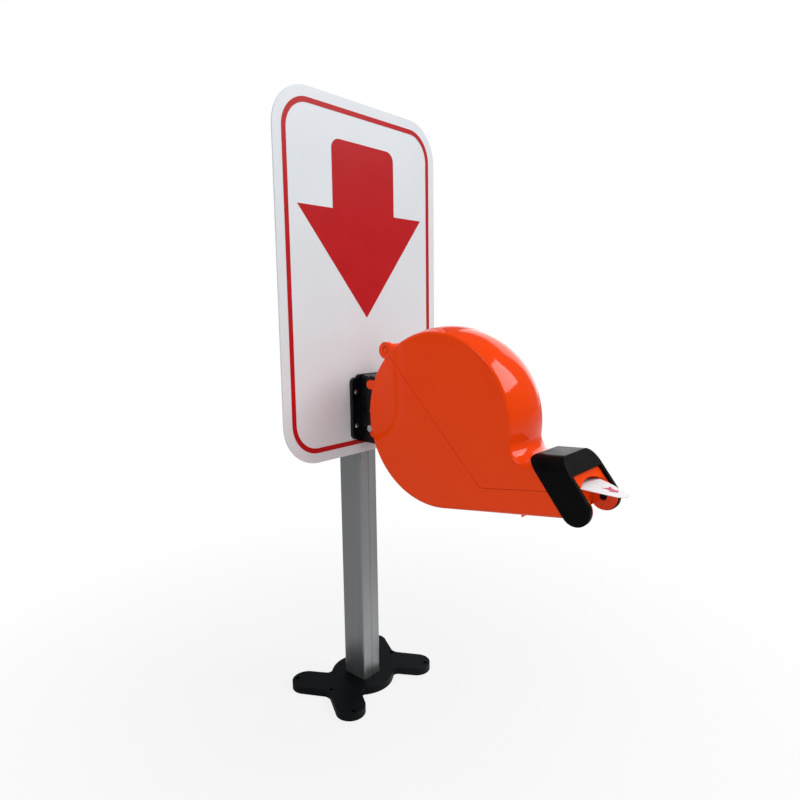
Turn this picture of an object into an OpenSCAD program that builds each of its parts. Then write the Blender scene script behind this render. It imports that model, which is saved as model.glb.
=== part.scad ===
// Take-a-number ticket dispenser on a counter stand.
// A round orange ticket drum with a black flip-up nose hood hangs on a bracket,
// in front of an upright sign plate that a square post holds over a cast foot.
// Millimetres. X runs along the sign, -Y is the front, +Z is up, and the origin
// is the middle of the foot's underside.

/* [Foot] */
// Thickness of the foot plate
foot_t = 7; // [4:0.5:10]
// Radius of the foot's middle disc
hub_r = 30.8; // [28:0.1:33]
// Radius of the round end of each arm
lobe_r = 14; // [10:0.1:16]
// Distance of each arm's round end from the middle, along X
lobe_x = 47.2; // [42:0.1:60]
// Distance of each arm's round end from the middle, along Y
lobe_y = 31.3; // [27:0.1:40]
// Half width of the foot at its waist, between the arms of one side
waist_x = 47; // [42:0.1:55]
// Radius of the fillet between the disc and each arm
neck_fillet_r = 5; // [3:0.5:8]
// Radius of the fillet at the foot's waist
bay_fillet_r = 10; // [4:0.5:12]
// Direction of the straight inner side of each arm, in degrees from the foot's Y axis
arm_side_a = 31.8; // [28:0.2:36]
// Radius of the fixing holes through the foot
foot_hole_r = 2.1; // [1.5:0.1:2.6]
// Distance from an arm's fixing hole to its mirror image, along X
arm_hole_dx = 103.4; // [94:0.2:110]
// Distance from an arm's fixing hole to its mirror image, along Y
arm_hole_dy = 79.4; // [68:0.2:82]
// Distance between the two fixing holes at the waist
waist_hole_dx = 86; // [76:0.5:87]

/* [Post] */
// Width of the post, along the sign
post_w = 22.8; // [20:0.2:30]
// Depth of the post, from front to back
post_d = 28; // [20:0.5:36]
// Distance of the post's top below the sign's top
post_inset = 21.6; // [15:0.2:60]
// Wall of the post
post_wall = 1.8; // [1.2:0.1:2.4]
// Radius of the post's outer corners
post_corner_r = 2.2; // [0.5:0.1:3]
// Width of the fine groove down the middle of the post's front and back
groove_w = 1.6; // [0.8:0.1:2]
// Radius of the screw ports inside the post
port_r = 2; // [1.5:0.1:2.2]
// Distance between the two screw ports
port_dx = 11.6; // [9:0.2:12.6]
// Thickness of the post's end cap above the post
cap_t = 2.5; // [1.5:0.5:5]

/* [Sign] */
// Width of the sign plate
sign_w = 198.4; // [160:0.4:240]
// Height of the sign plate
sign_h = 310; // [280:1:340]
// Thickness of the sign plate
sign_t = 1.5; // [1:0.1:3]
// Height of the sign's lower edge above the foot plate
sign_lift = 230.6; // [180:0.2:240]
// Radius of the sign's corners
sign_corner_r = 36.4; // [20:0.2:50]
// Distance from the sign's edge to its red line
line_inset = 8.7; // [6:0.1:11]
// Width of the red line
line_w = 4.3; // [2:0.1:5]
// Thickness of the printed film
film_t = 0.2; // [0.1:0.05:0.4]
// Distance from the sign's top to the top of the arrow
arrow_inset = 34.6; // [20:0.2:50]
// Length of the arrow's shaft
arrow_shaft_l = 57.8; // [40:0.2:75]
// Length of the arrow's head
arrow_head_l = 93.1; // [70:0.1:100]
// Width of the arrow's head
arrow_head_w = 154.4; // [120:0.5:165]
// Width of the arrow's shaft
arrow_shaft_w = 77; // [50:0.5:100]
// Radius of the two upper corners of the arrow's shaft
arrow_corner_r = 9; // [3:0.5:15]
// Thickness of the tape between the post and the sign
tape_t = 0.75; // [0.5:0.05:2]
// Width of the tape
tape_w = 18; // [12:1:20]

/* [Bracket] */
// Width of the bracket's plate
bracket_w = 48; // [44:1:60]
// Height of the bracket's lower edge above the sign's lower edge
bracket_z = 14; // [14:0.2:18]
// Height of the bracket's plate
bracket_h = 57; // [50:1:64]
// Thickness of the bracket's plate
bracket_t = 3.5; // [2.5:0.1:5]
// Radius of the corners of the bracket's plate
bracket_corner_r = 5; // [3:0.5:8]
// Width of the channel that stands out of the bracket
channel_w = 29; // [27:0.5:30]
// Reach of the channel from the sign's face
channel_reach = 23.4; // [22:0.2:25]
// Height of the channel
channel_h = 62; // [60:1:66]
// Wall of the channel
channel_wall = 2.5; // [2:0.1:3]
// Distance between the bracket's screws, along X
bracket_screw_dx = 39; // [38:0.5:40]
// Distance between the bracket's screws, along Z
bracket_screw_dz = 30.8; // [24:0.2:40]
// Shank radius of the bracket's screws
bracket_screw_r = 1.25; // [1:0.05:1.5]
// Distance between the two screws that hold the bracket on the post
post_screw_dz = 36; // [30:1:44]
// Shank radius of the post's screws
post_screw_r = 2; // [1.5:0.1:2.2]
// Radius of the studs that the dispenser hooks over
stud_r = 1.8; // [1.6:0.1:2.2]

/* [Dispenser] */
// Width of the dispenser across its side faces
body_w = 50; // [48:0.5:56]
// Radius of the drum
drum_r = 72; // [71:0.2:73]
// Clearance between the drum's back and the bracket's channel
drum_gap = 1.2; // [1:0.1:3]
// How far the drum's axis lies below the bracket's middle
drum_sink = 0.7; // [0:0.1:2]
// Wall of the two shells
wall = 2.2; // [1.8:0.1:2.6]
// Rounding along the rim of the shells
rim_r = 3; // [2:0.1:4]
// Height of the lid's crown between its two rims
crown = 3.6; // [2:0.1:4]
// Slope of the snout's underside and top, in degrees
snout_slope = 7.75; // [6:0.25:9]
// Radius of the hollow blend between the drum and the snout
neck_r = 13; // [11:0.5:15]
// Height of the snout, from its underside to its flat top
snout_h = 38.1; // [37:0.1:39]
// Height of the seam's bend over the drum's lowest point
seam_rise = 24.7; // [22:0.1:27]
// Radius of the seam's bend
seam_bend_r = 4; // [2:0.5:6]
// Gap of the seam
seam_gap = 0.3; // [0.2:0.05:0.6]

/* [Lid hinge] */
// Distance of the hinge's axis outside the drum's rim
hinge_out = 3.2; // [3:0.1:3.6]
// Direction of the hinge from the drum's axis, in degrees from straight ahead
hinge_angle = 132.7; // [132:0.1:133.4]
// Radius of the lid's ears
ear_r = 7.2; // [6.5:0.1:8]
// Thickness of each ear
ear_t = 4; // [3:0.1:5]
// Radius of the barrel that the lid turns on
barrel_r = 5.6; // [5:0.1:6.4]
// Radius of the hinge pin
pin_r = 2; // [1.6:0.1:2.4]
// Radius of the sunk ring around the pin
ring_r = 3.4; // [3:0.1:4]

/* [Nose] */
// Distance of the hood's pivot beyond the drum's rim, along the snout
pivot_reach = 44.8; // [44:0.1:46]
// Height of the hood's pivot over the snout's underside
pivot_rise = 6.3; // [6:0.1:7]
// Backward lean of the hood, in degrees
hood_lean = 37; // [36:0.1:38]
// Half width of each of the hood's legs
hood_leg_r = 11; // [10.8:0.1:11.3]
// Width of the hood
hood_w = 52; // [50.4:0.2:54]
// Distance between the hood's legs
hood_gap_w = 44.8; // [44:0.2:45.6]
// Radius of the hood's upper corners
hood_corner_r = 11.6; // [9:0.1:14]
// Height of the hood's roof over its pivot
hood_h = 36.4; // [35.8:0.1:38]
// Slope of the hood's roof, in degrees
hood_slope = 3.9; // [3:0.1:6]
// Wall of the hood's roof
hood_roof = 2.4; // [2:0.1:3]
// Wall of the hood's brow
hood_brow = 1.8; // [1.4:0.1:1.9]
// Distance from the pivot up to the brow's lower edge
brow_z = 21; // [19:0.2:24]
// Radius of the hood's pegs
peg_r = 2.6; // [2:0.1:3]
// Distance from the pivot forward to the snout's front wall
front_e = 8.6; // [8:0.1:8.7]
// Radius of the cheeks' round ends
cheek_r = 10.3; // [9.6:0.1:10.5]
// Thickness of each cheek
cheek_t = 2; // [1.6:0.1:2.4]
// Radius of the arch over the ticket
arch_r = 42.5; // [38:0.5:48]
// Height of the arch's top over the hood's pivot
arch_rise = 18.3; // [17.5:0.1:19.5]
// Height of the lip that the paper runs over, over the hood's pivot
lip_rise = 13.7; // [13:0.1:13.9]
// Distance of the base's front wall behind the hood's pivot
lip_back = 8.8; // [8.6:0.1:9.6]
// Distance of the nib on the underside behind the hood's pivot, along the snout
nib_back = 45.5; // [35:0.5:55]

/* [Paper] */
// Outer radius of the ticket roll
roll_r = 60; // [45:1:62]
// Width of the paper
paper_w = 33; // [28:0.5:34]
// Outer radius of the roll's cardboard core
core_r = 19; // [14:0.5:25]
// Wall of the core
core_wall = 1.6; // [1:0.1:2.5]
// Thickness that the paper strip is drawn with
paper_t = 0.4; // [0.3:0.05:0.5]
// Length of the ticket from its tear line to its tip
ticket_l = 38.2; // [32:0.1:42]
// Slope of the ticket as it leaves the nose, in degrees
ticket_drop = 2; // [0:0.5:3]

/* [Hidden] */
$fn = 64;

eps = 0.01;
hair = 0.02;         // rounds overlap by this much, so that they cross instead of only touching
far = 300;
run_gap = 0.06;      // radial clearance of a pin that turns
side_gap = 0.3;      // clearance between parts that pass each other
rest_gap = 0.3;      // clearance under a part that lies loose

// Places that several pieces share
post_front_y = -post_d / 2;
sign_back_y = post_front_y - tape_t;
sign_front_y = sign_back_y - sign_t;
sign_z = foot_t + sign_lift;
post_h = sign_lift + sign_h - post_inset;
bracket_mid_z = bracket_z + bracket_h / 2;

// Side profile of the dispenser: [forward distance from the sign, height over its lower edge]
drum_c = [channel_reach + drum_gap + drum_r, bracket_mid_z - drum_sink];
hinge_c = drum_c + (drum_r + hinge_out) * [cos(hinge_angle), sin(hinge_angle)];
slope_dir = [cos(snout_slope), sin(snout_slope)];
slope_up = [-sin(snout_slope), cos(snout_slope)];
pivot_along = drum_r + pivot_reach;
pivot_c = drum_c + pivot_along * slope_dir - (drum_r - pivot_rise) * slope_up;
lip_u = pivot_c[0] - lip_back;
lip_z = pivot_c[1] + lip_rise;
deck_drop = drum_r - snout_h;
keel_p = drum_c - (drum_r - hair) * slope_up;              // where the underside leaves the drum
neck_y = -(deck_drop - neck_r);
neck_l = [sqrt(pow(drum_r + neck_r, 2) - pow(neck_y, 2)), neck_y];   // neck's centre, along the snout
deck_p = drum_c + neck_l[0] * slope_dir - deck_drop * slope_up;      // where the snout's top leaves the neck
lean_up = [-sin(hood_lean), cos(hood_lean)];               // along the hood's legs
lean_on = [cos(hood_lean), sin(hood_lean)];                // square to them, forward

// Point on the line through p along d that lies at offset e along the nose's forward direction
function cross_e(p, d, e) = p + d * ((e - (p - pivot_c) * lean_on) / (d * lean_on));
// Point where two lines meet
function meet(p, d, q, f) = p + d * (((q - p) * [f[1], -f[0]]) / (d * [f[1], -f[0]]));

// Seam: straight from the hinge to a bend, then parallel to the snout
seam_front = 1.1;     // the seam passes this far in front of the drum's axis
seam_z = drum_c[1] - drum_r + seam_rise;
seam_bend = meet(hinge_c, drum_c + [seam_front, 0] - hinge_c, [0, seam_z], [1, 0]);
seam_dir = (seam_bend - hinge_c) / norm(seam_bend - hinge_c);
seam_side = [-seam_dir[1], seam_dir[0]];                   // towards the lid

// Zone that the hood's legs sweep and cover, with its clearance
leg_zone_r = hood_leg_r + side_gap;
snout_w = hood_gap_w - 2 * side_gap;
snout_corner_r = hood_corner_r - (hood_w - hood_gap_w) / 2;
cheek_in_w = snout_w - 2 * cheek_t;
mouth_w = cheek_in_w - 2 * side_gap;

step = 0.05;          // the narrow nose stands this much inside the full-width body

// Paper path
roll_c = drum_c - [0, drum_r - wall - roll_r - rest_gap];
lip_p = [lip_u - wall - 4, lip_z + rest_gap / 3];
strip_r = roll_r + rest_gap;                               // strip's upper face leaves the roll here
strip_top_p = lip_p + [0, paper_t];
strip_d = norm(strip_top_p - roll_c);
strip_a = atan2(strip_top_p[1] - roll_c[1], strip_top_p[0] - roll_c[0]) - acos(strip_r / strip_d);
strip_start = roll_c + strip_r * [cos(strip_a), sin(strip_a)];
tear_u = lip_u + 0.6;

// Turns a side profile into a slab across the dispenser, from x0 to x1
module across(x0, x1)
    translate([x1, sign_front_y, sign_z]) rotate([90, 0, -90]) linear_extrude(x1 - x0) children();
module across_mid(w) across(-w / 2, w / 2) children();
module both_sides() { children(); mirror([1, 0, 0]) children(); }
// A round thing along X at point p of the side profile, from x0 to x1
module rod_x(p, r, x0, x1)
    translate([x0, sign_front_y - p[0], sign_z + p[1]]) rotate([0, 90, 0]) cylinder(r = r, h = x1 - x0);

module round_rect(w, h, r) {
    square([w - 2 * r, h], center = true);
    square([w, h - 2 * r], center = true);
    for (x = [-1, 1], y = [-1, 1]) translate([x * (w / 2 - r), y * (h / 2 - r)]) circle(r);
}

// ---------------------------------------------------------------- foot

// The arm's outer side is a straight line that touches the round end, and a fillet closes it at the waist
bay_c = [waist_x + bay_fillet_r, 0];
bay_d = [bay_c[0] - lobe_x, lobe_y];
bay_a = atan2(bay_d[1], bay_d[0]) - acos((lobe_r + bay_fillet_r) / norm(bay_d));
bay_out = [cos(bay_a), -sin(bay_a)];
bay_top = [lobe_x, lobe_y] + (lobe_r - hair) * bay_out;
bay_foot = bay_c - (bay_fillet_r + hair) * bay_out;
// The arm's inner side is a straight line that touches the round end, and a fillet joins it to the disc
side_out = [-cos(arm_side_a), sin(arm_side_a)];
side_in = [-sin(arm_side_a), -cos(arm_side_a)];
side_p = [lobe_x, lobe_y] + (lobe_r + neck_fillet_r) * side_out;
fillet_c = side_p + side_in
    * (-side_p * side_in - sqrt(pow(side_p * side_in, 2) - side_p * side_p + pow(hub_r + neck_fillet_r, 2)));
side_top = [lobe_x, lobe_y] + (lobe_r - hair) * side_out;
side_foot = fillet_c - (neck_fillet_r + hair) * side_out;

// Outline of one arm's sides from its round end inwards; x and y are -1 or 1 and pick the arm
function placed(list, x, y) = [for (p = list) [x * p[0], y * p[1]]];
function inner_side(x, y) = placed([side_top, side_foot, fillet_c], x, y);
function outer_side(x, y) = placed([bay_top, bay_foot, bay_c], x, y);
function back(list) = [for (i = [len(list) - 1:-1:0]) list[i]];
// Half outline of the foot on the side of x, from the back to the front
function half_outline(x) = concat(
    [[0, hub_r / 2]], back(inner_side(x, 1)), [[x * lobe_x, lobe_y]], outer_side(x, 1),
    back(outer_side(x, -1)), [[x * lobe_x, -lobe_y]], inner_side(x, -1), [[0, -hub_r / 2]]);

// A disc and four arms with round ends, hollow between the arms of one side
module foot_blank() {
    cylinder(r = hub_r, h = foot_t);
    for (x = [-1, 1], y = [-1, 1]) translate([x * lobe_x, y * lobe_y, 0]) cylinder(r = lobe_r, h = foot_t);
    difference() {
        for (x = [-1, 1]) linear_extrude(foot_t) polygon(half_outline(x));
        for (x = [-1, 1]) translate([x * bay_c[0], 0, -1])
            cylinder(r = bay_fillet_r + 2 * hair, h = foot_t + 2);
        for (x = [-1, 1], y = [-1, 1]) translate([x * fillet_c[0], y * fillet_c[1], -1])
            cylinder(r = neck_fillet_r + 2 * hair, h = foot_t + 2);
    }
}
module countersunk_screw(r, head_r, head_h, l, grow = 0) {
    cylinder(r = r + grow, h = l);
    cylinder(r1 = head_r + grow, r2 = r + grow, h = head_h);
}
module foot_screw_set(grow = 0) for (x = [-1, 1]) translate([x * port_dx / 2, 0, 0.4])
    countersunk_screw(port_r - run_gap, port_r * 2, port_r, foot_t + 16, grow);

module foot_plate() color([0.08, 0.1, 0.11]) difference() {
    foot_blank();
    for (x = [-1, 1], y = [-1, 1]) translate([x * arm_hole_dx / 2, y * arm_hole_dy / 2, -1])
        cylinder(r = foot_hole_r, h = foot_t + 2);
    for (x = [-1, 1]) translate([x * waist_hole_dx / 2, 0, -1]) cylinder(r = foot_hole_r, h = foot_t + 2);
    foot_screw_set(run_gap);
    for (x = [-1, 1]) translate([x * port_dx / 2, 0, -1]) cylinder(r = port_r * 2 + run_gap, h = 1.4 + eps);
}
module foot_screws() color("silver") foot_screw_set();

// ---------------------------------------------------------------- post

module post_hollow() difference() {
    square([post_w - 2 * post_wall, post_d - 2 * post_wall], center = true);
    for (x = [-1, 1]) translate([x * port_dx / 2, 0]) {
        circle(port_r + post_wall);
        translate([x > 0 ? 0 : -post_w / 2, -post_wall / 2]) square([post_w / 2, post_wall]);
    }
}
module groove_pair() for (y = [-1, 1]) translate([0, y * post_d / 2]) rotate(45)
    square(groove_w / sqrt(2), center = true);

module post() color([0.6, 0.61, 0.62]) difference() {
    translate([0, 0, foot_t]) linear_extrude(post_h) difference() {
        round_rect(post_w, post_d, post_corner_r);
        post_hollow();
        for (x = [-1, 1]) translate([x * port_dx / 2, 0]) circle(port_r);
        groove_pair();
    }
    // holes of the bracket's screws, through the front wall alone
    at_post_screws() rotate([90, 0, 0]) translate([0, 0, -sign_t - tape_t - 2 * post_wall])
        cylinder(r = post_screw_r + run_gap, h = 4 * post_wall);
}
module post_cap() color([0.12, 0.12, 0.13]) {
    translate([0, 0, foot_t + post_h]) linear_extrude(cap_t) round_rect(post_w, post_d, post_corner_r);
    // two plugs, in front of the ports and behind them
    plug_w = post_w - 2 * (post_wall + side_gap);
    plug_y = port_r + post_wall + side_gap;
    plug_d = post_d / 2 - post_wall - side_gap - plug_y;
    for (y = [plug_y, -plug_y - plug_d])
        translate([-plug_w / 2, y, foot_t + post_h - 8]) cube([plug_w, plug_d, 8 + eps]);
}

// ---------------------------------------------------------------- sign

module sign_outline(inset) translate([0, sign_h / 2])
    round_rect(sign_w - 2 * inset, sign_h - 2 * inset, sign_corner_r - inset);
// Lays a drawing on the sign's front, t thick
module on_sign(depth, t) translate([0, sign_front_y + depth, sign_z]) rotate([90, 0, 0])
    linear_extrude(t) children();

module sign_panel() color([0.92, 0.92, 0.93]) difference() {
    translate([0, sign_t, 0]) on_sign(0, sign_t) sign_outline(0);
    bracket_holes();
    post_holes();
}
module sign_line() color([0.7, 0.05, 0.08]) on_sign(0, film_t) difference() {
    sign_outline(line_inset);
    sign_outline(line_inset + line_w);
}
module sign_arrow() color([0.7, 0.05, 0.08]) on_sign(0, film_t)
    translate([0, sign_h - arrow_inset - arrow_shaft_l]) {
        polygon([[0, -arrow_head_l], [arrow_head_w / 2, 0], [-arrow_head_w / 2, 0]]);
        translate([-arrow_shaft_w / 2, -1]) square([arrow_shaft_w, arrow_shaft_l + 1 - arrow_corner_r]);
        translate([-arrow_shaft_w / 2 + arrow_corner_r, 0])
            square([arrow_shaft_w - 2 * arrow_corner_r, arrow_shaft_l]);
        for (x = [-1, 1])
            translate([x * (arrow_shaft_w / 2 - arrow_corner_r), arrow_shaft_l - arrow_corner_r])
                circle(arrow_corner_r);
    }
module mounting_tape() color([0.25, 0.25, 0.26]) {
    tape_lo = sign_z + bracket_z + bracket_h + 6;
    translate([-tape_w / 2, sign_back_y, tape_lo])
        cube([tape_w, tape_t, foot_t + post_h - 12 - tape_lo]);
}

// ---------------------------------------------------------------- bracket

module at_bracket_screws() for (x = [-1, 1], z = [-1, 1])
    translate([x * bracket_screw_dx / 2, sign_front_y, sign_z + bracket_mid_z + z * bracket_screw_dz / 2])
        children();
module at_post_screws() for (z = [-1, 1])
    translate([0, sign_front_y, sign_z + bracket_mid_z + z * post_screw_dz / 2]) children();
module drill_y(r) rotate([90, 0, 0]) cylinder(r = r, h = 80, center = true);
hole_gap = 0.2;
module bracket_holes() at_bracket_screws() drill_y(bracket_screw_r + hole_gap);
module post_holes() at_post_screws() drill_y(post_screw_r + hole_gap);

// Pan-head screw along Y; its head rests on depth 0 and its shank runs back through l
module pan_screw(r, l) {
    rotate([90, 0, 0]) translate([0, 0, -l]) cylinder(r = r, h = l + eps);
    rotate([90, 0, 0]) difference() {
        rotate_extrude() intersection() {
            square([r * 1.7, r]);
            translate([0, -r * 1.7]) circle(r * 2.7);
        }
        for (a = [0, 90]) rotate(a) translate([0, 0, r]) cube([r * 1.9, r * 0.4, r], center = true);
    }
}

film_gap = film_t + 0.3;     // the channel stands clear of the printed line
stud_u = channel_reach - stud_r - 2.6;
stud_z = bracket_mid_z + 22.8;
lug_t = 2.6;
lug_x = channel_w / 2 + side_gap;
lug_skin = 0.9;              // closes the outer side of the slots that drop over the studs
stud_end = lug_x + lug_t - lug_skin - side_gap;
lock_r = 1.8;
lock_c = [channel_reach - lock_r - 2.2, bracket_mid_z - 16.6];

module wall_bracket() color([0.05, 0.05, 0.055]) difference() {
    union() {
        on_sign(0, bracket_t) translate([0, bracket_mid_z])
            round_rect(bracket_w, bracket_h, bracket_corner_r);
        // raised pad behind the channel, one step higher than the plate
        on_sign(-film_gap, bracket_t + 1.2 - film_gap) translate([0, bracket_mid_z])
            square([channel_w + 4, channel_h - 2], center = true);
        on_sign(-film_gap, channel_reach - film_gap) translate([0, bracket_mid_z]) difference() {
            square([channel_w, channel_h], center = true);
            square([channel_w - 2 * channel_wall, channel_h - 2 * channel_wall], center = true);
        }
        rod_x([stud_u, stud_z], stud_r, -stud_end, stud_end);
    }
    across_mid(channel_w + 2) roof_notches();
    // the studs stay outside the channel
    on_sign(-bracket_t - 1.2 - eps, far) translate([0, bracket_mid_z])
        square([channel_w - 2 * channel_wall, channel_h - 2 * channel_wall], center = true);
    bracket_holes();
    post_holes();
    rod_x(lock_c, lock_r + run_gap, -far, far);
}
// Notches that leave a row of saw teeth across the channel's roof
module roof_notches() {
    top = bracket_mid_z + channel_h / 2;
    depth = 1.6;
    first = bracket_t + 4.7;
    pitch = (channel_reach + 1 - first) / 2;
    translate([bracket_t + 1.2, top - depth]) square([first - bracket_t - 1.2, 2 * depth]);
    for (u = [first, first + pitch])
        polygon([[u, top], [u + pitch, top - depth], [u + pitch, top + depth], [u, top + depth]]);
}
module bracket_screws() color("silver") at_bracket_screws() translate([0, -bracket_t, 0])
    pan_screw(bracket_screw_r, bracket_t + sign_t + 3.5);
module bracket_nuts() color("silver") at_bracket_screws() translate([0, sign_t, 0]) rotate([-90, 0, 0])
    difference() {
        cylinder(r = bracket_screw_r * 2.2, h = 2, $fn = 6);
        translate([0, 0, -1]) cylinder(r = bracket_screw_r + run_gap, h = 6);
    }
module post_screws() color("silver") at_post_screws() translate([0, -bracket_t - 1.2, 0])
    pan_screw(post_screw_r, bracket_t + 1.2 + sign_t + tape_t + post_wall + 5);

// ---------------------------------------------------------------- dispenser shells

// Everything on the lid's side of the seam, shifted by d towards the lid
module lid_side(d) {
    a = hinge_c + d * seam_side;
    c = meet(a, seam_dir, seam_bend + d * slope_up, slope_dir);
    turn = acos(seam_dir * slope_dir);
    r = seam_bend_r + d;
    t = r * tan(turn / 2);
    o = c - t * seam_dir + r * seam_side;
    a0 = atan2(-seam_side[1], -seam_side[0]);
    steps = 8;
    polygon(concat(
        [a - far * seam_dir],
        [for (i = [0:steps]) o + r * [cos(a0 + turn * i / steps), sin(a0 + turn * i / steps)]],
        [c + far * slope_dir, c + far * slope_dir + far * slope_up,
         a - far * seam_dir + far * slope_up + far * slope_dir]));
}
// Zone in front of the hood's rear edge, up to above the hood, grown by g
module leg_zone(g) translate(pivot_c) rotate(hood_lean) {
    zone_h = 1.4 * hood_h;
    circle(leg_zone_r + g);
    translate([hair - leg_zone_r - g, 0]) square([far, zone_h]);
    translate([0, -far]) square([far, far + zone_h]);
}
// Slab of the nose between offsets e0 and e1 from the pivot, above the underside moved in by m
module nose_slab(e0, e1, m) {
    p = keel_p + m * slope_up;
    polygon([cross_e(p, slope_dir, e0), cross_e(p, slope_dir, e1),
             cross_e(p, slope_dir, e1) + 60 * lean_up, cross_e(p, slope_dir, e0) + 60 * lean_up]);
}
// Zone of the base's box inside the nose, closed by a front wall that stands upright
module box_slab(e0, m) intersection() {
    nose_slab(e0, 40, m);
    translate([lip_u - far - m, -far]) square([far, 2 * far]);
}

// Cross section of a bar with rounded upper corners whose roof lies on the line through p,
// swept along the snout
module roofed_bar(p, slope, w, r) {
    h = 2 * hood_h;
    translate([0, sign_front_y - p[0], sign_z + p[1]]) rotate([90 - slope, 0, 0])
        translate([0, 0, -drum_r]) linear_extrude(2 * drum_r) {
            translate([-w / 2, -h]) square([w, h - r]);
            translate([-w / 2 + r, -h]) square([w - 2 * r, h]);
            for (x = [-1, 1]) translate([x * (w / 2 - r), -r]) circle(r);
        }
}

// Frame of the drum: x forward along the snout, y square to it, z across the dispenser
module at_drum() translate([0, sign_front_y - drum_c[0], sign_z + drum_c[1]])
    rotate([90, 0, -90]) rotate(snout_slope) children();
// Crowned strip, s high, between two rounds of radius e whose centres lie at [0, -b] and [0, b]
module crown_strip(b, e, s) if (s > 0) {
    q = (b * b - s * s) / (2 * s);
    translate([-q, 0]) intersection() {
        circle(q + s + e);
        polygon([0.9 * [q, -b], 1.5 * [q, -b], 1.5 * [q, b], 0.9 * [q, b]]);
    }
}
// Half section of a disc of width w whose rims are rounded by e, with a crown s high
module rimmed_section(r, w, e, s) intersection() {
    union() {
        translate([r - e, 0]) crown_strip(w / 2 - e, e, s);
        translate([0, -w / 2]) square([r - e, w]);
        translate([0, -w / 2 + e]) square([r, w - 2 * e]);
        for (z = [-1, 1]) translate([r - e, z * (w / 2 - e)]) circle(e);
    }
    translate([0, -w]) square([r + s + 1, 2 * w]);
}
// The opposite: half section of a cut of radius r that flares out at both sides
module flared_section(r, w, e, s) difference() {
    translate([0, -w / 2 - 1]) square([r + e, w + 2]);
    translate([r, -w / 2 + e]) square([2 * e, w - 2 * e]);
    for (z = [-1, 1]) translate([r + e, z * (w / 2 - e)]) circle(e);
    translate([r + e, 0]) mirror([1, 0]) crown_strip(w / 2 - e, e, s);
}
// Drum, neck and snout as one rounded body of width w, moved in by m, with a crown s high on top
module rounded_body(m, w, e, s) at_drum() {
    low = hair + m - drum_r;
    high = -deck_drop - m;
    rotate_extrude() rimmed_section(drum_r - m, w, e, s);
    rotate([90, 0, 90]) linear_extrude(1.2 * pivot_along) {
        translate([(low + high) / 2, 0]) round_rect(high - low, w, e);
        translate([high - e, 0]) crown_strip(w / 2 - e, e, s);
    }
    difference() {
        translate([0, 0, -w / 2]) linear_extrude(w) polygon([
            0.75 * neck_l, neck_l, neck_l - [0, neck_r + m + 2 * e],
            [0.7 * drum_r, neck_y - neck_r - m - 2 * e]]);
        translate([neck_l[0], neck_l[1], 0]) rotate_extrude() flared_section(neck_r + m + hair, w, e, s);
    }
}

// The full-width body up to the hood's legs, moved in by m, with a crown s high
module wide_body(m, s = 0) difference() {
    rounded_body(m, body_w - 2 * m, max(rim_r - m, 0.8), s);
    across_mid(2 * body_w) leg_zone(m);
}
module ring_x(p, r, x0, x1) both_sides() rod_x(p, r, x0, x1);

ear_in = body_w / 2 - ear_t;

module base_shell() color([0.93, 0.3, 0.05]) {
    difference() {
        union() {
            difference() {
                union() {
                    wide_body(0);
                    across_mid(mouth_w) box_slab(-leg_zone_r - 2, step);
                }
                across_mid(2 * far) lid_side(0);
            }
            // front wall's lip, up to the paper
            across_mid(mouth_w) lip_profile();
            // hinge barrel with its web
            rod_x(hinge_c, barrel_r, -ear_in + side_gap, ear_in - side_gap);
            across_mid(2 * (ear_in - side_gap)) barrel_web();
            // nib across the underside
            across_mid(body_w - 2 * rim_r - 1) nib_profile();
            both_sides() lugs();
        }
        base_cavity();
        rod_x(hinge_c, pin_r + run_gap, -far, far);
        ring_x(hinge_c, ear_r + side_gap, ear_in - side_gap, far);
        ring_x(lock_c, lock_r + run_gap, lug_x - 1, lug_x + lug_t + 1);
    }
}
module lip_profile() {
    lip_foot = keel_p + slope_dir * ((lip_u - keel_p[0]) / slope_dir[0]);
    translate([lip_u - wall, lip_foot[1] + 1]) square([wall, lip_z - wall / 2 - lip_foot[1] - 1]);
    translate([lip_u - wall / 2, lip_z - wall / 2]) circle(wall / 2);
}
function web_foot(a) = drum_c + (drum_r - wall - 1) * [cos(hinge_angle + a), sin(hinge_angle + a)];
module barrel_web() intersection() {
    polygon([hinge_c, hinge_c - 0.9 * barrel_r * seam_side, web_foot(13.3), web_foot(3.3)]);
    difference() { translate(drum_c) circle(drum_r + 4); translate(drum_c) circle(drum_r - wall); }
}
module nib_profile() {
    q = keel_p + (pivot_along - nib_back) * slope_dir;
    polygon([q + slope_up, q - 2.4 * slope_up, q + 3 * slope_dir + slope_up, q - 2.2 * slope_dir + slope_up]);
}
module base_cavity() difference() {
    union() {
        wide_body(wall);
        across_mid(mouth_w - 2 * wall) box_slab(-leg_zone_r - wall - 2, wall + step);
    }
    // the barrel and its web stay whole
    rod_x(hinge_c, barrel_r, -far, far);
}
// Lugs on the base's back, on one side, that hang on the bracket
module lugs() difference() {
    across(lug_x, lug_x + lug_t) difference() {
        union() {
            lug(stud_z, 4, stud_u);
            lug(bracket_mid_z - 0.6, 2.5, channel_reach - 2.8);
            lug(lock_c[1], 3.4, lock_c[0]);
            lug(lock_c[1] - 3.2, 5.2, channel_reach - 0.4);
        }
        translate(drum_c) circle(drum_r - wall / 2);
    }
    // blind slot that drops over the stud
    across(lug_x - 1, lug_x + lug_t - lug_skin) {
        translate([stud_u, stud_z]) circle(stud_r + 0.15);
        translate([stud_u - stud_r - 0.15, stud_z - 12]) square([2 * stud_r + 0.3, 12]);
    }
}
module lug(z, r, u) {
    translate([u, z]) circle(r);
    translate([u, z - r]) square([drum_c[0] - u, 2 * r]);
}

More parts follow.
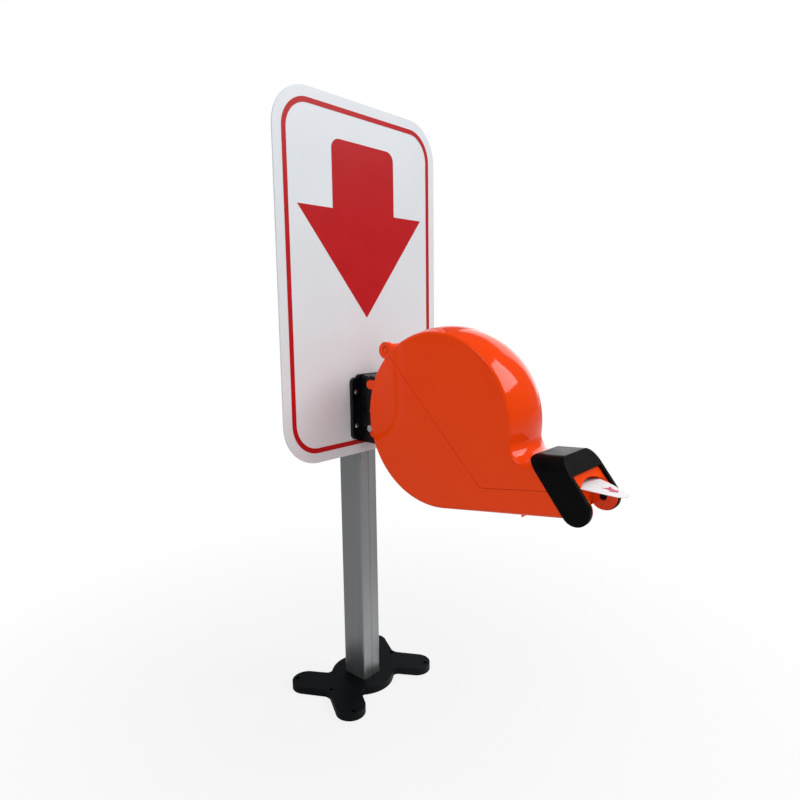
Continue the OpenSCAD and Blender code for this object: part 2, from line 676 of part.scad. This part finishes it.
module lid_shell() color([0.95, 0.33, 0.06]) difference() {
    union() {
        difference() {
            union() {
                wide_body(0, crown);
                intersection() {
                    across_mid(snout_w) nose_slab(-leg_zone_r - 2, front_e, step);
                    roofed_bar(deck_p - step * slope_up, snout_slope, snout_w, snout_corner_r);
                }
            }
            across_mid(2 * far) difference() { translate([-far, -far]) square(3 * far); lid_side(seam_gap); }
        }
        // cheeks that carry the hood
        both_sides() across(cheek_in_w / 2, snout_w / 2) cheek_profile();
        // ears
        both_sides() rod_x(hinge_c, ear_r, ear_in, body_w / 2);
    }
    lid_cavity();
    // arch over the ticket
    difference() {
        translate([0, sign_front_y - lip_u - 2, sign_z + pivot_c[1] + arch_rise - arch_r]) rotate([90, 0, 0])
            cylinder(r = arch_r, h = 40);
        both_sides() translate([cheek_in_w / 2, -far * 2, 0]) cube([far, far * 2, far * 3]);
    }
    rod_x(hinge_c, pin_r + run_gap, -far, far);
    rod_x(hinge_c, barrel_r + side_gap, -ear_in, ear_in);
    ring_x(hinge_c, ring_r, body_w / 2 - 0.8, far);
    rod_x(pivot_c, peg_r + run_gap, -far, far);
}
module cheek_profile() intersection() {
    union() {
        translate(pivot_c) circle(cheek_r);
        translate(pivot_c) rotate(hood_lean)
            polygon([[hair - cheek_r, 0], [hair - cheek_r, 20], [front_e, 20], [front_e, 10],
                     [cheek_r - hair, 0]]);
    }
    difference() {
        translate([0, -far]) square(2 * far);
        translate(deck_p) rotate(snout_slope) translate([-far, 0]) square(2 * far);
    }
}
module lid_cavity() {
    wide_body(wall, crown);
    intersection() {
        across_mid(cheek_in_w) nose_slab(-leg_zone_r - wall - 2, front_e - wall, step);
        roofed_bar(deck_p - (wall + step) * slope_up, snout_slope, cheek_in_w, snout_corner_r - cheek_t);
    }
}
module hinge_pin() color("silver") rod_x(hinge_c, pin_r, -body_w / 2 + 0.3, body_w / 2 - 0.3);

// ---------------------------------------------------------------- hood

hood_dir = [cos(hood_slope), sin(hood_slope)];
hood_up = [-sin(hood_slope), cos(hood_slope)];
roof_p = pivot_c + hood_h * hood_up;
module hood_outline() intersection() {
    translate(pivot_c) rotate(hood_lean) {
        circle(hood_leg_r);
        translate([hair - hood_leg_r, 0]) square([2 * (hood_leg_r - hair), 90]);
    }
    translate(roof_p) rotate(hood_slope) translate([-far, -far]) square([2 * far, far]);
}
// Corner to take off where the roof meets the legs' rear edge
hood_back_p = cross_e(roof_p, hood_dir, -hood_leg_r);
hood_back_r = 2.4;
module back_corner() {
    t = hood_back_r / tan(acos(hood_dir * -lean_up) / 2);
    o = hood_back_p + t * hood_dir - hood_back_r * hood_up;
    difference() {
        polygon([hood_back_p + hood_up - hood_dir, hood_back_p + t * hood_dir + hood_up,
                 hood_back_p + t * hood_dir, o, hood_back_p - t * lean_up,
                 hood_back_p - t * lean_up - hood_dir]);
        translate(o) circle(hood_back_r);
    }
}
module nose_hood() color([0.05, 0.05, 0.055]) {
    difference() {
        intersection() {
            across_mid(hood_w) difference() { hood_outline(); back_corner(); }
            roofed_bar(roof_p, hood_slope, hood_w, hood_corner_r);
        }
        intersection() {
            across_mid(hood_gap_w) {
                translate(pivot_c) rotate(hood_lean) {
                    translate([-far, -far]) square([far + hood_leg_r - hood_brow, 2 * far]);
                    translate([-far, -far]) square([2 * far, far + brow_z]);
                }
            }
            roofed_bar(roof_p - hood_roof * hood_up, hood_slope, hood_gap_w, snout_corner_r);
        }
    }
    ring_x(pivot_c, peg_r, cheek_in_w / 2 - 0.8, hood_gap_w / 2 + eps);
}

// ---------------------------------------------------------------- lock screws

module lock_screws() color("silver") both_sides() {
    rod_x(lock_c, lock_r, channel_w / 2 - channel_wall - 1.5, lug_x + lug_t);
    difference() {
        rod_x(lock_c, lock_r * 1.6, lug_x + lug_t, lug_x + lug_t + 1.8);
        translate([lug_x + lug_t + 1.8, sign_front_y - lock_c[0], sign_z + lock_c[1]])
            cube([1.2, lock_r * 4, 0.9], center = true);
    }
}

// ---------------------------------------------------------------- paper

module ticket_roll() color([0.95, 0.94, 0.92]) difference() {
    rod_x(roll_c, roll_r, -paper_w / 2, paper_w / 2);
    rod_x(roll_c, core_r, -paper_w, paper_w);
}
module roll_core() color([0.62, 0.48, 0.33]) difference() {
    rod_x(roll_c, core_r - 0.02, -paper_w / 2, paper_w / 2);
    rod_x(roll_c, core_r - core_wall, -paper_w, paper_w);
}
module ticket_strip() color([0.95, 0.94, 0.92]) across_mid(paper_w) polygon([
    strip_start, strip_top_p, [tear_u - 0.3, strip_top_p[1]],
    [tear_u - 0.3, strip_top_p[1] - paper_t], strip_top_p - [0, paper_t],
    strip_start + paper_t * [cos(strip_a), sin(strip_a)]]);

// Lays a drawing of [x, distance from the tear line] on the ticket, from height h0 to h1 over its underside
module on_ticket(h0, h1) translate([0, sign_front_y - tear_u, sign_z + strip_top_p[1] - paper_t])
    rotate([ticket_drop, 0, 0]) translate([0, 0, h0]) linear_extrude(h1 - h0) mirror([0, 1]) children();
ticket_tip_r = 6.3;
ticket_shoulder = 6.7;       // straight part of the ticket's short edge
ticket_knee = [paper_w / 2 - 8.9, ticket_l - 17.2];     // where its torn edge bends
module ticket() color([0.96, 0.95, 0.93]) on_ticket(0, paper_t) {
    tip = [-paper_w / 2 + ticket_tip_r, ticket_l - ticket_tip_r];
    d = ticket_knee - tip;
    a = atan2(d[1], d[0]) + acos(ticket_tip_r / norm(d));
    polygon([[-paper_w / 2, 0], [paper_w / 2, 0], [paper_w / 2, ticket_shoulder], ticket_knee,
             tip + ticket_tip_r * [cos(a), sin(a)], tip, [-paper_w / 2, tip[1]]]);
    translate(tip) circle(ticket_tip_r);
}
module ticket_arrow() color([0.78, 0.16, 0.38]) on_ticket(paper_t, paper_t + 0.1)
    translate([-0.22 * paper_w, ticket_l - 8.4]) rotate(30) polygon([
        [0, 0], [4.3, -4.8], [2.3, -4.6], [2.3, -9.4], [4.2, -13.6], [0, -11],
        [-4.2, -12.6], [-2.3, -9.4], [-2.3, -4.6], [-4.3, -4.8]]);

foot_plate();
foot_screws();
post();
post_cap();
sign_panel();
sign_line();
sign_arrow();
mounting_tape();
wall_bracket();
bracket_screws();
bracket_nuts();
post_screws();
base_shell();
lid_shell();
hinge_pin();
nose_hood();
lock_screws();
ticket_roll();
roll_core();
ticket_strip();
ticket();
ticket_arrow();
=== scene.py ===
"""Looks of a take-a-number ticket dispenser on a counter stand.

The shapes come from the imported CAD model. This script adds the materials, the small
edge radii, the paper behind the ticket, the floor, the light and the camera. Lengths
are in metres.
"""

import bpy
from mathutils import Matrix, Vector


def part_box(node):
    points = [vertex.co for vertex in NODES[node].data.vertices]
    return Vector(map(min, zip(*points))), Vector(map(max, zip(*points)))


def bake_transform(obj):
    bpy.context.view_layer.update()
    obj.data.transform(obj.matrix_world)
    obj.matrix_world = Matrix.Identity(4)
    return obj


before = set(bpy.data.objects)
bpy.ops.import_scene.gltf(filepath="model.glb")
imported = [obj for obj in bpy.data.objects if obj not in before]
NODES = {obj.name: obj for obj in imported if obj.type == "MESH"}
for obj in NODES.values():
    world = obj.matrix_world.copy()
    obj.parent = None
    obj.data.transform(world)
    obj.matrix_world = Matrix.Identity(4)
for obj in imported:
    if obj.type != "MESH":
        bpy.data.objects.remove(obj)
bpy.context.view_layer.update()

MM = 0.001


# ---------------------------------------------------------------- node helpers

def srgb(r, g, b):
    """Linear colour of an 8-bit sRGB colour."""
    def linear(v):
        v /= 255
        return v / 12.92 if v <= 0.04045 else ((v + 0.055) / 1.055) ** 2.4
    return (linear(r), linear(g), linear(b), 1.0)


def add(tree, kind, inputs=None, **settings):
    """Adds a shader node. An input is a value, or the output of another node."""
    node = tree.nodes.new("ShaderNode" + kind)
    for name, value in settings.items():
        setattr(node, name, value)
    for name, value in (inputs or {}).items():
        if isinstance(value, bpy.types.NodeSocket):
            tree.links.new(value, node.inputs[name])
        else:
            node.inputs[name].default_value = value
    return node


def coords(tree, scale=(1, 1, 1), offset=(0, 0, 0)):
    """Place on the object in metres, moved by offset and then stretched."""
    place = add(tree, "TexCoord").outputs["Object"]
    moved = add(tree, "Mapping", {"Vector": place, "Location": offset}).outputs["Vector"]
    return add(tree, "Mapping", {"Vector": moved, "Scale": scale}).outputs["Vector"]


def noise(tree, size, detail=2.0, roughness=0.5, stretch=(1, 1, 1)):
    """Noise whose grains are about size metres across."""
    vector = coords(tree, stretch)
    made = add(tree, "TexNoise", {"Vector": vector, "Scale": 1 / size, "Detail": detail,
                                  "Roughness": roughness})
    return made.outputs["Fac"]


def spread(tree, value, low, high, from_low=0.3, from_high=0.7):
    """Carries a noise value over to the range low to high."""
    made = add(tree, "MapRange", {"Value": value, "From Min": from_low, "From Max": from_high,
                                  "To Min": low, "To Max": high})
    return made.outputs["Result"]


def tint(tree, value, low, high):
    """Colour between low and high, by a noise value."""
    ramp = add(tree, "ValToRGB", {"Fac": value})
    for element, place, colour in zip(ramp.color_ramp.elements, (0.3, 0.7), (low, high)):
        element.position = place
        element.color = colour
    return ramp.outputs["Color"]


def bump(tree, layers):
    """Bump from (height value, height in metres) pairs, laid over each other."""
    normal = None
    for value, height in layers:
        inputs = {"Height": value, "Strength": 1.0, "Distance": height}
        if normal is not None:
            inputs["Normal"] = normal
        normal = add(tree, "Bump", inputs).outputs["Normal"]
    return normal


def material(name, surface, **sockets):
    """Principled material. surface(tree) gives the sockets that vary over it."""
    made = bpy.data.materials.new(name)
    made.use_nodes = True
    tree = made.node_tree
    shader = tree.nodes["Principled BSDF"]
    for key, value in sockets.items():
        shader.inputs[key.replace("_", " ")].default_value = value
    for key, value in surface(tree).items():
        tree.links.new(value, shader.inputs[key])
    return made


# ---------------------------------------------------------------- materials

def glossy_shell(tree):
    """Polished orange plastic: faint sink marks, orange peel and wiping scratches."""
    cloud = noise(tree, 45 * MM, 3)
    peel = noise(tree, 2.2 * MM, 2)
    wipe = noise(tree, 1.1 * MM, 4, 0.7, (0.12, 1, 0.35))
    return {
        "Base Color": tint(tree, cloud, srgb(246, 66, 3), srgb(248, 70, 4)),
        "Roughness": spread(tree, wipe, 0.07, 0.13),
        "Normal": bump(tree, [(peel, 0.003 * MM), (cloud, 0.03 * MM)]),
    }


def black_hood(tree):
    """Black plastic with a fine spark-eroded grain."""
    grain = noise(tree, 0.35 * MM, 3, 0.6)
    smudge = noise(tree, 14 * MM, 3)
    return {
        "Base Color": tint(tree, smudge, srgb(5, 5, 5), srgb(10, 9, 9)),
        "Roughness": spread(tree, smudge, 0.36, 0.46),
        "Normal": bump(tree, [(grain, 0.02 * MM)]),
    }


def black_bracket(tree):
    """Black moulded nylon, a little greasy."""
    grain = noise(tree, 0.6 * MM, 3, 0.6)
    smudge = noise(tree, 9 * MM, 3)
    return {
        "Base Color": tint(tree, smudge, srgb(6, 7, 11), srgb(11, 12, 17)),
        "Roughness": spread(tree, smudge, 0.25, 0.4),
        "Normal": bump(tree, [(grain, 0.02 * MM)]),
    }


def foot_paint(tree):
    """Dark powder coat over a cast plate, with its orange peel and light dust."""
    peel = noise(tree, 0.8 * MM, 3, 0.6)
    swell = noise(tree, 7 * MM, 2)
    dust = noise(tree, 16 * MM, 4, 0.65)
    return {
        "Base Color": tint(tree, dust, srgb(6, 10, 13), srgb(11, 16, 19)),
        "Roughness": spread(tree, dust, 0.4, 0.55),
        "Normal": bump(tree, [(swell, 0.03 * MM), (peel, 0.02 * MM)]),
    }


def drawn_aluminium(tree):
    """Satin anodised extrusion, with die lines that run along it."""
    lines = noise(tree, 0.25 * MM, 3, 0.7, (1, 1, 0.004))
    bands = noise(tree, 2.5 * MM, 2, 0.5, (1, 1, 0.02))
    spots = noise(tree, 12 * MM, 4)
    return {
        "Base Color": tint(tree, bands, srgb(147, 148, 149), srgb(152, 153, 154)),
        "Roughness": spread(tree, spots, 0.3, 0.36),
        "Normal": bump(tree, [(lines, 0.002 * MM), (bands, 0.004 * MM)]),
    }


def sign_board(tree):
    """White rigid board with a satin face and a faint grain."""
    grain = noise(tree, 0.7 * MM, 3, 0.6)
    cloud = noise(tree, 60 * MM, 2)
    return {
        "Base Color": tint(tree, cloud, srgb(225, 229, 233), srgb(229, 233, 236)),
        "Roughness": spread(tree, grain, 0.32, 0.42),
        "Normal": bump(tree, [(grain, 0.004 * MM), (cloud, 0.05 * MM)]),
    }


def sign_print(tree):
    """Red screen print: a thin film whose coverage varies a little."""
    grain = noise(tree, 0.5 * MM, 3, 0.7)
    cloud = noise(tree, 22 * MM, 2)
    return {
        "Base Color": tint(tree, cloud, srgb(186, 14, 20), srgb(192, 18, 24)),
        "Roughness": spread(tree, grain, 0.3, 0.42),
        "Normal": bump(tree, [(grain, 0.008 * MM)]),
    }


def tape_foam(tree):
    """Grey foam tape, whose cut edges show its cells."""
    cells = add(tree, "TexVoronoi", {"Vector": coords(tree), "Scale": 1 / (0.35 * MM)}).outputs["Distance"]
    return {
        "Base Color": tint(tree, cells, srgb(54, 54, 57), srgb(74, 74, 77)),
        "Normal": bump(tree, [(cells, 0.1 * MM)]),
    }


def zinc_steel(tree):
    """Bright zinc plate with fine turning marks and dull patches."""
    grain = noise(tree, 0.2 * MM, 3, 0.6)
    patch = noise(tree, 2.5 * MM, 3)
    return {
        "Base Color": tint(tree, patch, srgb(196, 197, 200), srgb(224, 225, 228)),
        "Roughness": spread(tree, patch, 0.18, 0.36),
        "Normal": bump(tree, [(grain, 0.006 * MM)]),
    }


def cap_plastic(tree):
    """Black end cap, dulled by handling."""
    grain = noise(tree, 0.4 * MM, 3, 0.6)
    smudge = noise(tree, 6 * MM, 3)
    return {
        "Base Color": tint(tree, smudge, srgb(19, 19, 20), srgb(30, 30, 31)),
        "Roughness": spread(tree, smudge, 0.4, 0.55),
        "Normal": bump(tree, [(grain, 0.03 * MM)]),
    }


def paper(tree):
    """Uncoated paper: short fibres and a faint unevenness."""
    fibres = noise(tree, 0.3 * MM, 4, 0.7, (1, 0.25, 1))
    cloud = noise(tree, 6 * MM, 3)
    return {
        "Base Color": tint(tree, cloud, srgb(233, 229, 229), srgb(239, 236, 236)),
        "Normal": bump(tree, [(fibres, 0.012 * MM), (cloud, 0.03 * MM)]),
    }


def wound_paper(tree):
    """The roll's ends show its turns as rings, the outside is plain paper."""
    low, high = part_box("ticket_roll")
    centre = (low + high) / 2
    rings = add(tree, "TexWave", {"Vector": coords(tree, offset=(0, -centre.y, -centre.z)),
                                  "Scale": 1 / (3.2 * MM), "Distortion": 0.6, "Detail": 3.0},
                wave_type="RINGS", rings_direction="X").outputs["Fac"]
    cloud = noise(tree, 5 * MM, 3)
    return {
        "Base Color": tint(tree, rings, srgb(214, 210, 206), srgb(238, 236, 233)),
        "Normal": bump(tree, [(rings, 0.06 * MM), (cloud, 0.05 * MM)]),
    }


def core_card(tree):
    """Brown card tube with long fibres."""
    fibres = noise(tree, 0.5 * MM, 4, 0.7, (0.2, 1, 1))
    return {
        "Base Color": tint(tree, fibres, srgb(150, 118, 82), srgb(178, 146, 108)),
        "Normal": bump(tree, [(fibres, 0.05 * MM)]),
    }


def ticket_ink(tree):
    """Pink-red ink that the paper's fibres show through."""
    fibres = noise(tree, 0.3 * MM, 4, 0.7, (1, 0.25, 1))
    return {
        "Base Color": tint(tree, fibres, srgb(198, 44, 92), srgb(214, 74, 116)),
        "Normal": bump(tree, [(fibres, 0.012 * MM)]),
    }


MATERIALS = {
    "foot_plate": material("foot_paint", foot_paint, Specular_IOR_Level=0.1),
    "post": material("post_aluminium", drawn_aluminium, Metallic=0.85),
    "post_cap": material("cap_plastic", cap_plastic, Specular_IOR_Level=0.4),
    "sign_panel": material("sign_board", sign_board, Specular_IOR_Level=0.3),
    "sign_line": material("sign_print", sign_print, Specular_IOR_Level=0.2),
    "mounting_tape": material("tape_foam", tape_foam, Roughness=0.85),
    "wall_bracket": material("bracket_plastic", black_bracket, Specular_IOR_Level=0.3),
    "foot_screws": material("screw_steel", zinc_steel, Metallic=1.0),
    "base_shell": material("shell_plastic", glossy_shell, Specular_IOR_Level=0.25),
    "nose_hood": material("hood_plastic", black_hood, Specular_IOR_Level=0.08),
    "ticket_roll": material("paper_roll", wound_paper, Roughness=0.75),
    "ticket": material("paper_white", paper, Roughness=0.6),
    "roll_core": material("core_card", core_card, Roughness=0.85),
    "ticket_arrow": material("ticket_print", ticket_ink, Roughness=0.55),
}
SAME_AS = {
    "sign_arrow": "sign_line",
    "lid_shell": "base_shell",
    "ticket_strip": "ticket",
    "bracket_screws": "foot_screws",
    "bracket_nuts": "foot_screws",
    "post_screws": "foot_screws",
    "hinge_pin": "base_shell",
    "lock_screws": "foot_screws",
}
for name, obj in NODES.items():
    for slot in obj.material_slots:
        slot.material = MATERIALS[SAME_AS.get(name, name)]


# ---------------------------------------------------------------- edge radii

EDGE_RADII = {
    "foot_plate": 1.4 * MM,
    "post": 0.15 * MM,
    "post_cap": 0.5 * MM,
    "sign_panel": 0.5 * MM,
    "wall_bracket": 0.5 * MM,
    "nose_hood": 0.6 * MM,
    "base_shell": 0.15 * MM,
    "lid_shell": 0.15 * MM,
    "bracket_screws": 0.12 * MM,
    "lock_screws": 0.15 * MM,
}


def round_edges(obj, radius):
    """Rounds the sharp edges of a CAD node, and shades it smoothly."""
    weld = obj.modifiers.new("weld", "WELD")
    weld.merge_threshold = 0.002 * MM
    bevel = obj.modifiers.new("edges", "BEVEL")
    bevel.width = radius
    bevel.segments = 3
    bevel.limit_method = "ANGLE"
    bevel.angle_limit = 0.7
    bevel.use_clamp_overlap = True
    bevel.harden_normals = False
    normals = obj.modifiers.new("normals", "WEIGHTED_NORMAL")
    normals.mode = "FACE_AREA_WITH_ANGLE"
    normals.weight = 80


for name, radius in EDGE_RADII.items():
    round_edges(NODES[name], radius)


# ---------------------------------------------------------------- paper behind the ticket

FEED_ROWS = 24
FEED_OVERLAP = 1.2 * MM         # how far the paper reaches into the strip, and into the ticket
FEED_HALF = 0.12 * MM           # half its thickness, so that strip and ticket hide it at rest
FEED_MARGIN = 0.1 * MM          # at both sides of the strip
PAPER_HALF = 0.2 * MM           # half the thickness of the strip


def make_paper_feed():
    """Paper that comes out of the mouth behind the ticket, hidden inside both at rest."""
    strip_low, strip_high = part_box("ticket_strip")
    _, ticket_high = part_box("ticket")
    middle = strip_high.z - PAPER_HALF
    first = strip_low.y + FEED_OVERLAP
    last = ticket_high.y - FEED_OVERLAP
    sides = (strip_low.x + FEED_MARGIN, strip_high.x - FEED_MARGIN)
    section = ((sides[0], -FEED_HALF), (sides[1], -FEED_HALF), (sides[1], FEED_HALF), (sides[0], FEED_HALF))
    points = []
    for row in range(FEED_ROWS + 1):
        y = first + (last - first) * row / FEED_ROWS
        points += [(x, y, middle + dz) for x, dz in section]
    faces = [(3, 2, 1, 0), tuple(4 * FEED_ROWS + i for i in range(4))]
    for row in range(FEED_ROWS):
        for i in range(4):
            j = (i + 1) % 4
            faces.append((4 * row + i, 4 * row + j, 4 * row + 4 + j, 4 * row + 4 + i))
    mesh = bpy.data.meshes.new("paper_feed")
    mesh.from_pydata(points, [], faces)
    mesh.materials.append(MATERIALS["ticket"])
    feed = bpy.data.objects.new("paper_feed", mesh)
    bpy.context.scene.collection.objects.link(feed)
    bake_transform(feed)


make_paper_feed()


# ---------------------------------------------------------------- floor, light, camera

BACKDROP = Vector((0.80, 0.45, -0.35)).normalized()     # towards the middle of the white backdrop
BACKDROP_EDGE = (0.72, 0.84)        # how squarely a direction faces it, where the room turns into it
ROOM_LIGHT = 0.60                   # strength of the light all round
ROOM_SHINE = 0.15                   # strength of the room as gloss shows it
ROOM_TONE = (0.95, 0.975, 1, 1)     # colour of the light all round

FLOOR_HALF = 6.0                    # half the floor's width
FLOOR_GREY = (0.55, 0.55, 0.55, 1)
FLOOR_WHITE = (0.82, 1.0)           # share of plain white that the camera sees on the floor, near and far
FLOOR_FADE = (0.1, 0.5)             # distances from the object between which that share grows
FLOOR_GLOW = Vector((0.5, -0.86, 0))        # towards a painted pool of light on the floor, white only where gloss sees it
GLOW_EDGE = (0.0, 0.05)             # the glow starts this far in that direction
GLOW_FADE = (0.1, 0.35)             # distances from the object between which it ends


def rays(tree):
    """Two values that are 1 on camera rays, and on rays that gloss, metal or glass sends on."""
    path = add(tree, "LightPath").outputs
    sent_on = add(tree, "Math", {0: path["Is Glossy Ray"], 1: path["Is Transmission Ray"]},
                  operation="MAXIMUM")
    return path["Is Camera Ray"], sent_on.outputs[0]


def mix_value(tree, factor, low, high):
    """Value from low at factor 0 to high at factor 1."""
    rise = add(tree, "Math", {0: high, 1: low}, operation="SUBTRACT").outputs[0]
    return add(tree, "Math", {0: factor, 1: rise, 2: low}, operation="MULTIPLY_ADD").outputs[0]


def along(tree, vector, direction):
    """How far a vector reaches in a direction."""
    return add(tree, "VectorMath", {0: vector, 1: direction}, operation="DOT_PRODUCT").outputs["Value"]


def make_floor():
    """A pale floor. The camera sees it white far off, and with the object's shadow close by. Gloss sees a
    painted pool of light on it, to the front right and close to the object.
    """
    mesh = bpy.data.meshes.new("floor")
    corners = [(x * FLOOR_HALF, y * FLOOR_HALF, 0) for x, y in ((-1, -1), (1, -1), (1, 1), (-1, 1))]
    mesh.from_pydata(corners, [], [(0, 1, 2, 3)])
    floor = bpy.data.objects.new("floor", mesh)
    bpy.context.scene.collection.objects.link(floor)
    made = bpy.data.materials.new("floor")
    made.use_nodes = True
    tree = made.node_tree
    tree.nodes.clear()
    place = add(tree, "TexCoord").outputs["Object"]
    distance = add(tree, "VectorMath", {0: place}, operation="LENGTH").outputs["Value"]
    seen, sent_on = rays(tree)
    whitened = spread(tree, distance, *FLOOR_WHITE, *FLOOR_FADE)
    # painted pool of light: to gloss the floor glows white to the front right of the object, fading out
    # further away
    glow = spread(tree, along(tree, place, FLOOR_GLOW), 0.0, 1.0, *GLOW_EDGE)
    glow_left = spread(tree, distance, 1.0, 0.0, *GLOW_FADE)
    mirrored = mix_value(tree, sent_on, 0.0, mix_value(tree, glow, 0.0, glow_left))
    share = mix_value(tree, seen, mirrored, whitened)
    plain = add(tree, "BsdfDiffuse", {"Color": FLOOR_GREY}).outputs[0]
    white = add(tree, "Emission", {"Color": (1, 1, 1, 1), "Strength": 1.0}).outputs[0]
    mixed = add(tree, "MixShader", {0: share, 1: plain, 2: white}).outputs[0]
    add(tree, "OutputMaterial", {"Surface": mixed})
    mesh.materials.append(made)


def make_world():
    """A white backdrop behind the object, in a plain room that lights it evenly."""
    world = bpy.data.worlds.new("studio")
    bpy.context.scene.world = world
    world.use_nodes = True
    tree = world.node_tree
    tree.nodes.clear()
    seen, sent_on = rays(tree)
    facing = along(tree, add(tree, "TexCoord").outputs["Generated"], BACKDROP)
    shine = spread(tree, facing, ROOM_SHINE, 1.0, *BACKDROP_EDGE)
    strength = mix_value(tree, seen, mix_value(tree, sent_on, ROOM_LIGHT, shine), 1.0)
    tone = add(tree, "ValToRGB", {"Fac": seen})
    tone.color_ramp.elements[0].color = ROOM_TONE
    light = add(tree, "Background", {"Color": tone.outputs["Color"], "Strength": strength}).outputs[0]
    add(tree, "OutputWorld", {"Surface": light})


def make_lamp(name, place, aim, size, power):
    """Soft box at place that faces aim."""
    lamp = bpy.data.lights.new(name, "AREA")
    lamp.shape = "RECTANGLE"
    lamp.size, lamp.size_y = size
    lamp.energy = power
    obj = bpy.data.objects.new(name, lamp)
    obj.location = place
    obj.rotation_euler = (Vector(aim) - Vector(place)).to_track_quat("-Z", "Y").to_euler()
    obj.visible_camera = False
    bpy.context.scene.collection.objects.link(obj)


def make_camera():
    """Camera at a wide view from the front left, slightly downwards."""
    right = Vector((0.6641, -0.7475, -0.0132))
    up = Vector((0.1134, 0.0833, 0.9900))
    back = right.cross(up)
    data = bpy.data.cameras.new("camera")
    data.sensor_width = 36
    data.lens = 27.855
    data.clip_start = 0.01
    camera = bpy.data.objects.new("camera", data)
    place = Vector((-0.4087, -0.42015, 0.3664))
    camera.matrix_world = Matrix.Translation(place) @ Matrix((right, up, back)).transposed().to_4x4()
    bpy.context.scene.collection.objects.link(camera)
    bpy.context.scene.camera = camera


make_floor()
make_world()
make_lamp("key", (0.9, -1.3, 1.5), (0, -0.1, 0.3), (0.9, 0.9), 16.5)
make_lamp("side", (1.47, 0.2, 0.85), (0, -0.15, 0.33), (1.0, 1.1), 5)
make_lamp("fill", (-0.7, -0.35, 1.1), (0, -0.1, 0.3), (0.7, 0.7), 3)
make_camera()
bpy.context.scene.view_settings.view_transform = "Standard"
